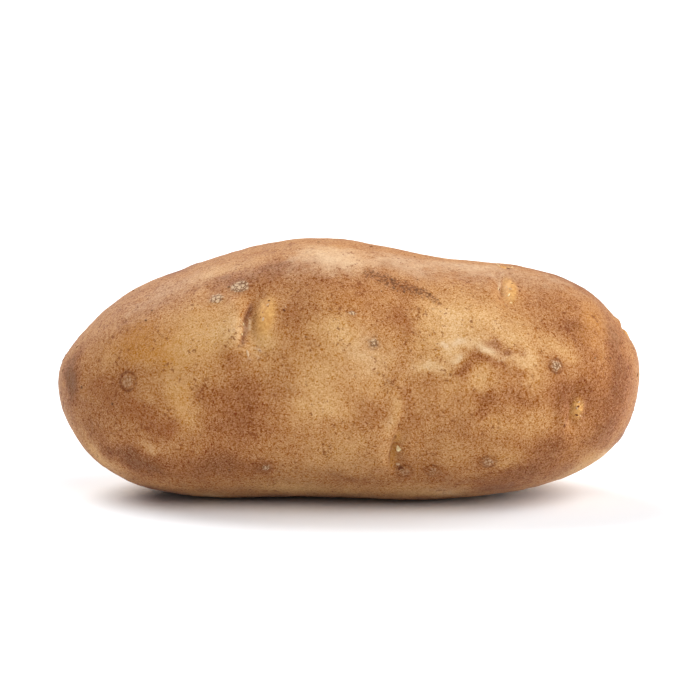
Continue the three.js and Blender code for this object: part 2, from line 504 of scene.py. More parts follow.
# The large browed eye: a lip and a dark fold on the stem side of a honey-coloured pad. The lip's
# pale crest is partly painted highlight, and the fold's dark is partly painted shade of the
# groove under the lip.
BROWED_EYE = Eye(
    Place(-18.2, 32.9),
    strokes=(
        Stroke(
            ((-2.8, 5.2), (-3.4, 2.6), (-4.2, 0.2), (-4.2, -2.4), (-4.6, -5.0), (-4.8, -7.2)),
            left=0.6, right=2.4, rise=0.3,
        ),
        # The fold: brown skin, darkened further with painted shade of the groove under the lip.
        Stroke(
            ((-2.7, 5.0), (-3.3, 2.6), (-4.1, 0.2), (-4.1, -2.4), (-4.5, -5.0), (-4.7, -7.0)),
            left=0.5, right=0.5, rise=-0.5,
            stain=Layer.ASH, stain_amount=0.9, stain_width=1.3, tone=-0.8,
        ),
        # Two thin dark lines of painted shade deep in the fold.
        Stroke(
            ((-2.8, 5.0), (-3.2, 3.2), (-3.9, 1.0), (-4.2, -0.8)),
            left=0.24, right=0.24, stain=Layer.SCAR_AND_SHADE, stain_amount=0.75,
        ),
        Stroke(
            ((-4.0, -2.2), (-4.4, -4.2), (-4.6, -6.6)),
            left=0.24, right=0.24, stain=Layer.SCAR_AND_SHADE, stain_amount=0.75,
        ),
        Stroke(
            ((-3.2, 1.2), (-3.3, -0.4), (-3.2, -2.4)),
            left=0.25, right=0.3, rise=0.15, stain=Layer.PALE, stain_amount=0.9, tone=0.4,
        ),
        # The lip's pale crest: partly the skin's colour, partly painted highlight.
        Stroke(
            ((-5.4, 3.4), (-6.2, -0.6), (-5.6, -4.0), (-5.0, -6.6)),
            left=0.9, right=1.6, stain=Layer.PALE, stain_amount=0.4, tone=-0.05,
        ),
        Stroke(((-3.2, -6.4), (-1.6, -6.6), (-0.4, -7.8)), 0.3, 0.3, 0.22, Layer.PALE, 0.7),
        Stroke(((-3.0, -7.8), (-1.4, -8.4), (-1.2, -9.8)), 0.3, 0.3, 0.2, Layer.PALE, 0.6),
        Stroke(((-3.6, -8.6), (-2.6, -9.6)), 0.3, 0.3, 0.2, Layer.PALE, 0.6),
    ),
    pads=(
        Pad((0.3, 0.4), 2.3, 5.4, 0.22, Layer.HONEY, 0.9, lean=-8.0, squareness=1.2),
        # Two small pits, darkened with painted shade.
        Pad((-5.5, -6.4), 0.4, 0.4, -0.25, Layer.SCAR_AND_SHADE, 0.9),
        Pad((-7.8, -9.1), 0.4, 0.4, -0.2, Layer.SCAR_AND_SHADE, 0.8),
        Pad((4.4, 1.5), 0.8, 1.0, 0.15, Layer.RUST, 0.6),
    ),
    beads=(
        Bead((-3.6, -3.7), 0.2),
        Bead((-0.2, -0.4), 0.3, Layer.PALE, 0.3, 1.6, 70.0),
        Bead((0.7, 3.3), 0.22, Layer.PALE, 0.35, 1.8, 30.0),
        Bead((-3.2, -0.9), 0.16, Layer.SHOOT, 0.5, 3.2, 95.0),
        Bead((-0.4, 1.4), 0.16, Layer.RUST, 0.4, 1.6, 60.0),
        Bead((-0.9, 0.2), 0.14, Layer.RUST, 0.4, 2.0, 80.0),
        Bead((0.9, 4.4), 0.22, Layer.SOIL, 0.5, 1.3, 20.0),
        Bead((0.8, 2.8), 0.14, Layer.SOIL, 0.5),
        Bead((4.3, 1.7), 0.24, Layer.SCAR_AND_SHADE, 0.4, 2.4, -55.0),
        Bead((4.7, 2.4), 0.12, Layer.PALE, 0.5, 2.4, -60.0),
        Bead((-1.6, -7.2), 0.13, Layer.PALE, 0.5, 6.0, -42.0),
        Bead((-0.9, -7.0), 0.1, Layer.PALE, 0.5, 5.0, -48.0),
        Bead((-3.3, -8.0), 0.24, Layer.PALE, 0.4, 3.4, -76.0),
    ),
)

# The low eye on the belly: a long pale brow beside an amber fold, with a cluster of white beads.
# The brow's paleness is partly painted highlight, and the dark lines and dot in the fold are
# partly painted shade.
LOW_EYE = Eye(
    Place(10.6, -23.5),
    strokes=(
        Stroke(
            ((1.6, 14.0), (-0.2, 8.6), (-1.4, 2.9), (-2.0, -1.5), (-1.6, -5.2)),
            left=0.45, right=2.4, rise=0.45,
        ),
        # The brow's pale band: partly the skin's colour, partly painted highlight.
        Stroke(
            ((0.8, 14.5), (-1.6, 8.7), (-3.0, 2.4), (-3.3, -2.0)),
            left=0.9, right=1.1, stain=Layer.PALE, stain_amount=0.25, tone=0.12,
        ),
        Stroke(
            ((0.2, 6.4), (-0.8, 2.6), (-1.4, -0.6), (-1.3, -5.4)),
            left=1.1, right=0.4, rise=-0.5, stain=Layer.OCHRE, stain_amount=1.0, tone=0.45,
        ),
        # The fold's dark edge under the brow's step: rust-brown, and partly painted shade.
        Stroke(
            ((1.8, 2.4), (0.4, 2.0), (-0.9, 1.6), (-1.6, -0.6), (-1.5, -3.4)),
            0.3, 0.4, -0.1, Layer.RUST, 0.8, tone=-0.1,
        ),
        # A dark line and a pit in the fold, painted shade.
        Stroke(((-0.6, 2.2), (-1.4, 0.6), (-1.7, -0.8)), 0.2, 0.2, 0.0, Layer.SCAR_AND_SHADE, 0.5),
        Stroke(((0.5, -4.2), (1.0, -4.8)), 0.35, 0.35, -0.3, Layer.SCAR_AND_SHADE, 0.9),
    ),
    beads=(
        Bead((0.3, 0.7), 0.5, height=1.0), Bead((0.8, 0.9), 0.36), Bead((0.0, 1.2), 0.34),
        Bead((0.1, 0.2), 0.34, Layer.PALE),
        Bead((0.0, -3.7), 0.34, Layer.PALE, 0.6, 1.4, 10.0),
        # A dark dot of painted shade in the pit.
        Bead((0.5, -4.7), 0.3, Layer.SCAR_AND_SHADE, 0.3, 2.0, 60.0),
        Bead((-1.9, -0.4), 0.16, Layer.RUST, 0.4, 5.0, 80.0),
    ),
)

# The high eye near the top line: a pale lip and a thin dark slit beside a honey-coloured pad, and
# a dark bud with two pale scales above them. The lip's paleness is partly painted highlight. The
# dark of the slit, of the small pits and of the pit that the bud sits in is partly painted shade,
# and a pale stroke on that pit's stem side is a painted highlight.
HIGH_EYE = Eye(
    Place(34.9, 54.6),
    strokes=(
        # The lip, pale along its crest: partly the skin's colour, partly painted highlight.
        Stroke(
            ((0.4, 9.6), (-1.0, 6.2), (-1.9, 2.6), (-2.1, 0.2), (-2.4, -4.6)),
            left=0.35, right=0.8, rise=0.45, stain=Layer.PALE, stain_amount=0.7,
            stain_width=0.8,
        ),
        # The slit: rust-brown, and partly painted shade.
        Stroke(((-1.3, 4.6), (-1.6, 0.0), (-1.7, -5.4)), 0.4, 0.3, -0.1, Layer.RUST, 0.45),
        # A painted highlight on the stem side of the bud's pit.
        Stroke(((-1.4, 13.8), (-1.0, 12.4)), 0.4, 0.4, 0.2, Layer.PALE, 0.6),
    ),
    pads=(
        Pad((0.2, 0.6), 1.7, 5.6, 0.3, Layer.HONEY, 0.8),
        # The bud's pit: rust-dark, and partly painted shade.
        Pad((0.0, 12.4), 0.8, 0.9, -0.4, Layer.RUST, 1.0, lean=-40.0),
        # Three small pits, darkened with painted shade.
        Pad((1.2, 4.6), 0.35, 0.6, -0.2, Layer.SCAR_AND_SHADE, 0.7),
        Pad((2.4, 4.0), 0.35, 0.6, -0.2, Layer.SCAR_AND_SHADE, 0.6),
        Pad((2.7, 2.2), 0.35, 0.5, -0.15, Layer.SCAR_AND_SHADE, 0.6),
        Pad((0.1, 12.4), 1.3, 1.1, 0.0, Layer.HONEY, 0.8),
    ),
    beads=(
        # A dark sliver of painted shade along the slit.
        Bead((-1.7, 0.4), 0.17, Layer.SCAR_AND_SHADE, 0.3, 3.6, 90.0),
        Bead((-2.1, 0.2), 0.1, Layer.SHOOT, 0.6, 7.0, 88.0),
        Bead((0.4, 0.2), 0.22, Layer.PALE, 0.4, 2.0, -35.0),
        Bead((-0.1, -1.9), 0.2, Layer.SHOOT, 0.4, 2.6, 62.0),
        Bead((0.3, -4.6), 0.18, Layer.SHOOT, 0.4, 1.8, -15.0),
        Bead((-0.7, 1.6), 0.12, Layer.PALE, 0.4, 4.0, -50.0),
        Bead((0.9, 3.0), 0.2, Layer.SCAR_AND_SHADE, 0.4, 1.4, -20.0),
        Bead((2.3, 2.2), 0.22, Layer.SCAR_AND_SHADE, 0.4, 1.5, -30.0),
        Bead((2.4, 0.2), 0.2, Layer.SCAR_AND_SHADE, 0.4, 1.4, 0.0),
        Bead((0.5, 12.0), 0.3, Layer.SCAR_AND_SHADE, 0.3, 2.2, -55.0),
        Bead((-1.4, 13.4), 0.14, Layer.SHOOT, 0.5, 6.0, -55.0),
        Bead((1.6, 13.2), 0.12, Layer.SHOOT, 0.5, 5.0, 60.0),
    ),
)

# The small eye near the eye end: a low honey-coloured knot with dark folds, behind a faint brow.
# The dark of the folds and pits is partly painted shade.
KNOT_EYE = Eye(
    Place(49.6, -7.8),
    strokes=(
        Stroke(
            ((-1.6, 0.8), (-2.6, -0.8), (-3.4, -1.9), (-3.9, -3.4)),
            left=0.3, right=1.2, rise=0.4,
        ),
        # The crease under the brow: rust-brown, and partly painted shade.
        Stroke(
            ((-1.5, 0.6), (-2.5, -0.8), (-3.3, -1.9), (-3.8, -3.2)),
            0.3, 0.3, -0.2, Layer.RUST, 0.8,
        ),
        # Two folds round the knot: rust-brown, and partly painted shade.
        Stroke(((-0.6, 1.4), (0.3, 0.9), (1.3, 1.3)), 0.35, 0.35, -0.3, Layer.RUST, 0.9),
        Stroke(((-1.4, -2.0), (-0.2, -1.2), (0.8, -1.9)), 0.3, 0.3, -0.25, Layer.RUST, 0.9),
        Stroke(((-0.6, 0.6), (0.2, -0.4), (1.2, -0.6)), 0.4, 0.4, 0.25, Layer.HONEY, 0.6),
    ),
    pads=(Pad((0.0, -0.3), 1.7, 2.7, 0.15, Layer.HONEY, 0.72, lean=-12.0, squareness=1.1),),
    beads=(
        # Dark pits in the knot, painted shade.
        Bead((0.2, 0.5), 0.24, Layer.SCAR_AND_SHADE, 0.3, 1.6, 15.0),
        Bead((-0.5, 0.2), 0.14, Layer.SCAR_AND_SHADE, 0.3, 2.0, 60.0),
        Bead((-0.2, -1.4), 0.22, Layer.SCAR_AND_SHADE, 0.3, 1.6, -30.0),
        Bead((0.5, 1.2), 0.2, Layer.PALE, 0.5, 1.8, 15.0),
        Bead((0.0, 1.6), 0.16, Layer.HONEY, 0.5, 2.0, 40.0),
        Bead((1.2, 0.7), 0.2, Layer.HONEY, 0.6, 1.6, 60.0),
        Bead((-0.3, 0.1), 0.18, Layer.PALE, 0.5, 2.0, -70.0),
        Bead((0.6, -0.4), 0.2, Layer.HONEY, 0.6, 1.8, 20.0),
        Bead((0.9, -1.8), 0.18, Layer.PALE, 0.5, 1.8, -50.0),
        # Dark slivers of painted shade along the brow's crease.
        Bead((-2.9, -1.6), 0.14, Layer.SCAR_AND_SHADE, 0.3, 5.0, 62.0),
        Bead((-3.6, -3.1), 0.14, Layer.SCAR_AND_SHADE, 0.3, 3.0, 75.0),
    ),
)

# The eye on the shoulder of the eye end, which the front shows edge on.
SHOULDER_EYE = Eye(
    Place(61.0, 72.0),
    strokes=(
        Stroke(((-1.4, 3.4), (-0.9, 0.6), (-0.4, -2.4)), 0.35, 0.9, 0.3),
        # The eye's slit, darkened with painted shade.
        Stroke(((-1.0, 3.0), (-0.5, 0.6), (0.0, -2.2)), 0.35, 0.25, -0.5, Layer.SCAR_AND_SHADE, 1.0),
    ),
    pads=(Pad((1.0, 0.4), 1.2, 1.9, 0.2, Layer.HONEY, 0.7),),
)


@dataclass(frozen=True)
class HiddenEye:
    """The place and size of an eye on the sides that aren't seen from the front."""

    place: Place
    size: float

    def grown(self) -> Eye:
        """Grows a plain eye of this size.

        Returns:
            The eye, with a lip, a fold, a honey-coloured pad and three slivers. The lip's
            paleness is partly painted highlight, and the fold's dark partly painted shade.
        """
        s = self.size
        line = ((-2.0, 4.6), (-3.2, 1.8), (-3.3, -1.6), (-2.2, -4.8))
        lip = tuple((u * s, v * s) for u, v in line)
        fold = tuple((u + 0.15 * s, v * 0.9) for u, v in lip)
        return Eye(
            self.place,
            strokes=(
                # The lip, pale: partly the skin's colour, partly painted highlight.
                Stroke(lip, 0.5 * s, 2.2 * s, 0.45 * s, Layer.PALE, 0.35),
                # The fold, darkened: rust-brown, and partly painted shade.
                Stroke(fold, 0.5 * s, 0.4 * s, -0.4 * s, Layer.RUST, 0.9, tone=-0.4),
            ),
            pads=(
                Pad((0.1, 0.1), 1.9 * s, 4.4 * s, 0.1 * s, Layer.HONEY, 0.7, squareness=1.1),
            ),
            beads=(
                Bead((0.1 * s, 0.8 * s), 0.26 * s, Layer.SHOOT, 0.5, 1.8, 50.0),
                Bead((-0.4 * s, -1.0 * s), 0.2 * s, Layer.PALE, 0.5, 2.2, 110.0),
                Bead((0.6 * s, 2.0 * s), 0.16 * s, Layer.SCAR_AND_SHADE, 0.4, 1.6, 20.0),
            ),
        )


# The eyes of the hidden sides, apart from the smallest one, which keeps the solid's own form.
HIDDEN_EYES = (
    HiddenEye(Place(-54.0, 125.0), 0.6),
    HiddenEye(Place(-38.0, -122.0), 0.85),
    HiddenEye(Place(-4.0, 163.0), 1.1),
    HiddenEye(Place(23.0, -146.0), 0.9),
    HiddenEye(Place(42.0, -161.0), 0.9),
    HiddenEye(Place(54.0, 128.0), 0.6),
    HiddenEye(Place(57.5, -108.0), 0.5),
)

# The corky spots that the near side shows.
LENTICELS = (
    Lenticel(Place(-47.8, 6.1), 1.95, 0.42, 0.75),
    Lenticel(Place(-23.6, 49.9), 2.2, 1.0, 0.35, 1.15),
    Lenticel(Place(-28.5, 44.5), 1.9, 0.8, 0.3, 1.1),
    Lenticel(Place(5.4, 21.5), 1.35, 0.8, 0.6),
    Lenticel(Place(44.6, 13.5), 1.5, 0.8, 0.75),
    Lenticel(Place(18.2, -32.9), 1.6, 0.4, 0.6),
    Lenticel(Place(30.1, -27.8), 1.6, 0.55, 0.7),
    Lenticel(Place(12.1, -33.5), 1.7, 0.38, 0.6),
    Lenticel(Place(-17.9, -32.6), 1.1, 0.7, 0.3),
    Lenticel(Place(0.7, 33.5), 0.85, 1.0, 0.15),
    Lenticel(Place(8.8, 6.9), 1.1, 0.25, 0.2),
)

# The patches of colour that the near side shows, which add up where they overlap. The pale ones
# along the top, from 52 to 78 degrees round, are partly the skin's own paler colour and partly
# painted sheen of the light from above.
PATCHES = (
    Patch(Place(-61.5, 5.0), 3.2, 5.0, -0.85, Layer.ASH, 0.7),
    Patch(Place(-56.5, -23.5), 5.6, 5.9, -0.2, Layer.ASH, 0.3),
    Patch(Place(-53, 3), 4.2, 5.4, -0.35, Layer.RUST, 0.4),
    Patch(Place(-47.5, 29), 6.7, 4.1, -0.1, Layer.OCHRE, 0.7),
    Patch(Place(-46, -9.5), 5.2, 3.7, -0.4, Layer.RUST, 0.7),
    Patch(Place(-45.5, -36.5), 8.6, 3.9, -0.75, Layer.ASH, 0.4),
    Patch(Place(-43, -25.5), 1.9, 1.6, 0.4, Layer.PALE, 0.4),
    Patch(Place(-42, 20.5), 6.5, 3.3, 0, Layer.OCHRE, 0.7),
    # Paler along the top: partly painted sheen of the light from above.
    Patch(Place(-41.5, 57.5), 11.6, 5.9, -0.2, Layer.PALE, 0.4, lean=25),
    # Paler along the top: partly painted sheen of the light from above.
    Patch(Place(-27.8, 65), 8, 4, 0.35, Layer.PALE, 0.3),
    Patch(Place(-39.5, -15.5), 3.3, 2.4, -0.45, Layer.RUST, 0.7),
    Patch(Place(-37.5, 3), 3.4, 3.6, 0.3, Layer.OCHRE, 0.4),
    Patch(Place(-35.5, -6.5), 2.8, 6.1, 0.35, Layer.OCHRE, 0.4),
    Patch(Place(-35.5, 10.5), 2.9, 1.1, -0.1, Layer.RUST, 0.2),
    Patch(Place(-34, 22), 7.1, 6, 0.55, Layer.OCHRE, 0.35),
    Patch(Place(-32, -18.5), 6.8, 3.6, -0.05),
    Patch(Place(-32, 2), 2.3, 2.3, -0.15, Layer.RUST, 0.4),
    Patch(Place(-30.5, 32.5), 7.5, 6.3, 0.45, Layer.OCHRE, 0.25, lean=10),
    Patch(Place(-28, 57), 5, 2.4, -0.3, Layer.ASH, 0.35, lean=-10),
    Patch(Place(-28, -31.5), 6.7, 4.5, -0.6, Layer.ASH, 0.4),
    Patch(Place(-25, 27.5), 3.1, 4.4, 0.4, Layer.PALE, 0.4),
    Patch(Place(-24.5, 16.5), 2.7, 1.8, -0.2, Layer.RUST, 0.3),
    Patch(Place(-23.5, -4.5), 6.3, 7.1, -0.5, Layer.RUST, 0.3),
    Patch(Place(-18.5, 7.5), 9, 6.3, 0, Layer.ASH, 0.25),
    Patch(Place(-16, 59), 7.7, 3.8, -0.4, Layer.ASH, 0.4, lean=10),
    Patch(Place(-12.5, 3), 3.2, 2.7, -0.1, Layer.ASH, 0.3),
    Patch(Place(-12, 32), 3.4, 6.5, -0.15, Layer.RUST, 0.35),
    Patch(Place(-18.5, 22.5), 3.6, 4, 0.6),
    Patch(Place(15, 20.5), 6, 2.6, 0.3),
    Patch(Place(-10.5, -39.5), 13.4, 5, 0.3, Layer.ASH, 0.3),
    Patch(Place(-10.5, 19), 2.7, 3.2, 0.1, Layer.RUST, 0.2),
    Patch(Place(-6.5, 6), 5.4, 6.8, 0.5),
    # Paler along the top: partly painted sheen of the light from above.
    Patch(Place(-6.5, 69.5), 7.6, 5.8, 0.2, Layer.PALE, 0.5),
    Patch(Place(-6, -4.5), 6.3, 2.9, 0.4),
    Patch(Place(-3, 49), 5.4, 3.9, -0.15, Layer.ASH, 0.2),
    Patch(Place(-3, -10.5), 2.7, 2.1, 0, Layer.RUST, 0.3),
    Patch(Place(-3, 26.5), 4.9, 3.8, 0.6),
    # Paler along the top: partly painted sheen of the light from above.
    Patch(Place(-1, 61.5), 6.7, 5.3, 0.1, Layer.PALE, 0.45),
    Patch(Place(0.5, 39.5), 5.4, 3.4, -0.1, Layer.OCHRE, 0.4),
    Patch(Place(-2, -25), 7, 4, 0.35),
    Patch(Place(-10, -50), 10, 4, 0.5),
    Patch(Place(0.5, -32.5), 9, 4.4, 0.05, Layer.ASH, 0.3),
    Patch(Place(0.5, -16.5), 6.7, 2.7, 0.2),
    Patch(Place(3.5, 16), 6.3, 5.4, 0.45, Layer.PALE, 0.4),
    Patch(Place(4, -5.5), 3.6, 2.9, -0.15, Layer.ASH, 0.3),
    Patch(Place(7.5, 7.5), 1.8, 1.8, 0.1, Layer.ASH, 0.4),
    Patch(Place(4.8, 53.5), 3.0, 1.9, -0.2, Layer.SOIL, 0.36, lean=-15),
    Patch(Place(9, 51), 3.4, 2.3, -0.25, Layer.SOIL, 0.42, lean=-25),
    Patch(Place(9.5, -4.5), 1.6, 6.2, 0.4, lean=-15),
    # Paler along the top: partly painted sheen of the light from above.
    Patch(Place(11, 70), 6.7, 4.7, -0.15, Layer.PALE, 0.5),
    # Paler along the top: partly painted sheen of the light from above.
    Patch(Place(-8, 58), 14, 6, -0.2, Layer.PALE, 0.2),
    # Paler along the top: partly painted sheen of the light from above.
    Patch(Place(30, 66), 20, 7, -0.2, Layer.PALE, 0.25),
    Patch(Place(11.5, 29.5), 2.5, 6.8, -0.3, Layer.RUST, 0.5),
    Patch(Place(12.5, 2), 1.8, 2.3, -0.3, Layer.RUST, 0.4),
    Patch(Place(13.5, -12.5), 3.1, 5.8, 0, Layer.RUST, 0.3),
    Patch(Place(13, -50), 6, 4, 0.35),
    Patch(Place(14, 3), 1.8, 2.7, 0.2),
    Patch(Place(14, 46.5), 3.2, 2.1, -0.35, Layer.SOIL, 0.42, lean=-30),
    Patch(Place(18, 43), 2.6, 1.0, -0.45, Layer.SOIL, 0.55, lean=-35),
    Patch(Place(17.5, 12), 3.6, 1.8, 0.8, Layer.PALE, 0.5),
    Patch(Place(22, -41), 13.4, 3.6, -0.2, Layer.ASH, 0.2),
    Patch(Place(22, 33), 6.7, 6.2, 0.85),
    Patch(Place(23, -23.5), 3.6, 2.9, 0.15),
    Patch(Place(23.5, 2), 1.8, 1.4, -0.15, Layer.RUST, 0.3),
    Patch(Place(24, -12), 4, 6, 0, Layer.ASH, 0.3),
    Patch(Place(26, 5.5), 4.5, 2.7, 0.1),
    # Paler along the top: partly painted sheen of the light from above.
    Patch(Place(27, 77.5), 11.2, 5.1, 0, Layer.PALE, 0.5),
    Patch(Place(27, 21), 6.8, 2.4, 0.45, Layer.PALE, 0.3),
    Patch(Place(27.5, 19), 1.1, 0.9, -0.2, Layer.RUST, 0.3),
    Patch(Place(30, 15.5), 2.8, 1.4, -0.5, Layer.RUST, 0.4, lean=20),
    Patch(Place(31.5, -10.5), 4.1, 2.4, 0.3, Layer.OCHRE, 0.3),
    Patch(Place(31.5, 30.5), 4.6, 4.9, 0.45, Layer.PALE, 0.2),
    Patch(Place(34, 48), 3.6, 6.8, 0.1, Layer.OCHRE, 0.4),
    Patch(Place(34.5, -25.5), 4.1, 2.3, 0.4, Layer.OCHRE, 0.3),
    Patch(Place(35.5, 1.5), 3.8, 3.2, -0.1, Layer.ASH, 0.3),
    Patch(Place(38.5, 16), 3.4, 2.6, 0.35),
    Patch(Place(46, 21), 3.4, 3, 0.25),
    Patch(Place(55, 22), 3.4, 8, 0.35),
    Patch(Place(38, -1), 3.6, 2.6, -0.25),
    Patch(Place(46.4, -3), 3, 4, -0.2),
    Patch(Place(29.8, -2.5), 2.8, 3.2, -0.4),
    Patch(Place(-61, -2), 2.2, 6, -0.2),
    Patch(Place(-53, -38), 3, 3, -0.35),
    Patch(Place(-19.5, -34), 4, 3, -0.35),
    Patch(Place(-2.5, -40), 5, 3, -0.35),
    Patch(Place(47, -46), 4, 3, -0.35),
    Patch(Place(29.7, 9.5), 3.4, 3, 0.3),
    Patch(Place(5.4, 5.8), 4, 4, 0.2),
    Patch(Place(21.6, 19), 3, 3, 0.2),
    Patch(Place(21.6, 4), 3, 3, 0.2),
    Patch(Place(-52.4, 19), 3, 5, 0.3),
    Patch(Place(38, 34.6), 4, 3, 0.15),
    Patch(Place(-46, 41), 5, 4, -0.1, Layer.OCHRE, 0.4),
    Patch(Place(54, 47), 4, 5, 0.1, Layer.OCHRE, 0.4),
    # Paler along the top: partly painted sheen of the light from above.
    Patch(Place(22, 52), 14, 7, 0.1, Layer.PALE, 0.1),
    Patch(Place(54, 30), 8, 18, 0, Layer.OCHRE, 0.2),
    Patch(Place(48, -30), 8, 8, 0, Layer.OCHRE, 0.25),
    Patch(Place(-10, -38), 16, 5, -0.12, Layer.RUST, 0.3),
    Patch(Place(30.5, 22.4), 2.0, 1.3, -0.9, Layer.RUST, 0.4),
    Patch(Place(26.6, 17.2), 2.0, 1.3, -0.6, Layer.RUST, 0.4),
    Patch(Place(34.6, 19.6), 2.0, 1.3, -1.0, Layer.RUST, 0.4),
    Patch(Place(36.7, 11), 2.2, 1.6, -0.4, Layer.RUST, 0.3),
    Patch(Place(24.5, 11.5), 2.0, 1.6, -0.5, Layer.RUST, 0.3),
    Patch(Place(32.4, 13.6), 1.4, 1.2, -0.5, Layer.RUST, 0.4),
    Patch(Place(24.2, 22.6), 1.4, 0.8, 0.4, Layer.PALE, 0.8),
    Patch(Place(20.4, 20.8), 1.2, 0.7, 0.35, Layer.PALE, 0.8),
    Patch(Place(22.4, 16.6), 1.6, 0.8, 0.35, Layer.PALE, 0.8),
    Patch(Place(29.4, 19.6), 1.4, 0.9, 0.6, Layer.PALE, 0.8),
    Patch(Place(33, 16.2), 1.8, 1.0, 0.4, Layer.PALE, 0.5),
    Patch(Place(37, 15.5), 3, 2.6, 0.3, Layer.PALE, 0.3),
    Patch(Place(28.5, 8), 3, 2, 0.2),
    Patch(Place(36, 24), 3, 3, 0.3),
    Patch(Place(40, 8), 2.9, 2.2, 0.25),
    Patch(Place(41, -9.5), 3.9, 3.3, 0.25),
    Patch(Place(41.5, 45.5), 4.6, 5.5, -0.1),
    Patch(Place(41.5, -36), 9.2, 3.9, -0.4, Layer.ASH, 0.3),
    Patch(Place(42.5, -25), 5.3, 3.4, -0.5, Layer.ASH, 0.3),
    Patch(Place(46.5, 21.5), 10.2, 2.3, 0.35, lean=-10),
    # Paler along the top: partly painted sheen of the light from above.
    Patch(Place(46.5, 75.5), 6.8, 6.4, -0.1, Layer.PALE, 0.3),
    Patch(Place(49, 36), 4, 1.9, -0.35, Layer.RUST, 0.5),
    Patch(Place(51, -1.5), 8.3, 5.5, -0.5, Layer.RUST, 0.3),
    Patch(Place(52, 31), 8, 8, -0.3, Layer.OCHRE, 0.2),
    Patch(Place(52.5, 18.5), 4, 3.6, -0.3),
    Patch(Place(55, -29), 5.4, 5.6, -0.3, Layer.ASH, 0.4),
    Patch(Place(57.5, 43.5), 3.8, 5.6, -0.35, Layer.PALE, 0.2),
    Patch(Place(59.5, 1.5), 5.6, 9, -0.6, Layer.RUST, 0.2),
)


@dataclass(frozen=True)
class Band:
    """A band of the skin in which places are drawn at random.

    `furthest` is in degrees, whose sine is how near the band's ends a place may be. `turns`
    are the band's limits round the potato.
    """

    half_length: float
    furthest: float
    turns: tuple[float, float]

    def draw_place(self, draw: random.Random) -> Place:
        """Draws a place, more thickly towards the ends, where the skin turns away.

        Args:
            draw: The seeded draw.

        Returns:
            The place.
        """
        x = self.half_length * math.sin(math.radians(draw.uniform(-self.furthest, self.furthest)))
        return Place(x, draw.uniform(*self.turns))


@dataclass(frozen=True)
class HiddenSides:
    """The rule for the colours and corky spots of the sides that the front doesn't show."""

    seed: int = 41
    patches: int = 150
    lenticels: int = 17
    band: Band = Band(half_length=62.0, furthest=84.0, turns=(88.0, 312.0))
    patch_sizes: tuple[float, float] = (2.0, 7.5)
    patch_shapes: tuple[float, float] = (0.55, 1.1)
    patch_strengths: tuple[float, float] = (0.5, 1.25)
    patch_leans: tuple[float, float] = (-40.0, 40.0)
    radii: tuple[float, float] = (0.9, 2.0)
    corks: tuple[float, float] = (0.3, 0.9)
    rings: tuple[float, float] = (0.3, 0.7)
    stains: tuple[tuple[Layer | None, float, float], ...] = (
        (Layer.OCHRE, 0.5, 0.3), (Layer.PALE, 0.4, 0.45), (Layer.RUST, 0.45, -0.45),
        (Layer.ASH, 0.35, -0.5), (Layer.ASH, 0.3, -0.3), (None, 0.0, 0.55),
    )

    def lay_on(self, skin: Skin) -> None:
        """Paints the hidden sides in the manner of the near side.

        Args:
            skin: The skin that it goes on.
        """
        draw = random.Random(self.seed)
        places = [self.band.draw_place(draw) for _ in range(self.patches)]
        for place in places:
            stain, amount, tone = draw.choice(self.stains)
            size = draw.uniform(*self.patch_sizes)
            shape = draw.uniform(*self.patch_shapes)
            tone *= draw.uniform(*self.patch_strengths)
            lean = draw.uniform(*self.patch_leans)
            Patch(place, size, size * shape, tone, stain, amount, lean).lay_on(skin)
        places = [self.band.draw_place(draw) for _ in range(self.lenticels)]
        for place in places:
            cork = draw.uniform(*self.corks)
            radius = draw.uniform(*self.radii)
            Lenticel(place, radius, cork, draw.uniform(*self.rings)).lay_on(skin)


@dataclass(frozen=True)
class Pebbling:
    """The low lumps and flakes of the skin, which are too fine for the solid."""

    undulation: float = 0.2
    undulation_size: float = 7.0
    pebbles: float = 0.075
    pebble_size: float = 2.1
    flakes: float = 0.05
    flake_size: float = 2.8
    smoothing: float = 0.85

    def lay_on(self, skin: Skin) -> None:
        """Raises the lumps, lower where the skin is smooth and higher where it is brown.

        Args:
            skin: The skin that it goes on.
        """
        smooth = np.maximum(skin.layers[Layer.HONEY], skin.layers[Layer.CORK])
        rough = 1.0 - self.smoothing * np.clip(smooth, 0.0, 1.0)
        broad = grain_of(skin.points, self.undulation_size, seed=1, octaves=1)
        pebbled = grain_of(skin.points, self.pebble_size, seed=2)
        flaky = 1.0 - 2.0 * np.abs(grain_of(skin.points, self.flake_size, seed=3))
        brown = 0.5 - 0.5 * skin.layers[Layer.TONE]
        height = self.undulation * broad + self.pebbles * pebbled * (0.5 + brown)
        skin.lift((height + self.flakes * flaky * brown) * rough)


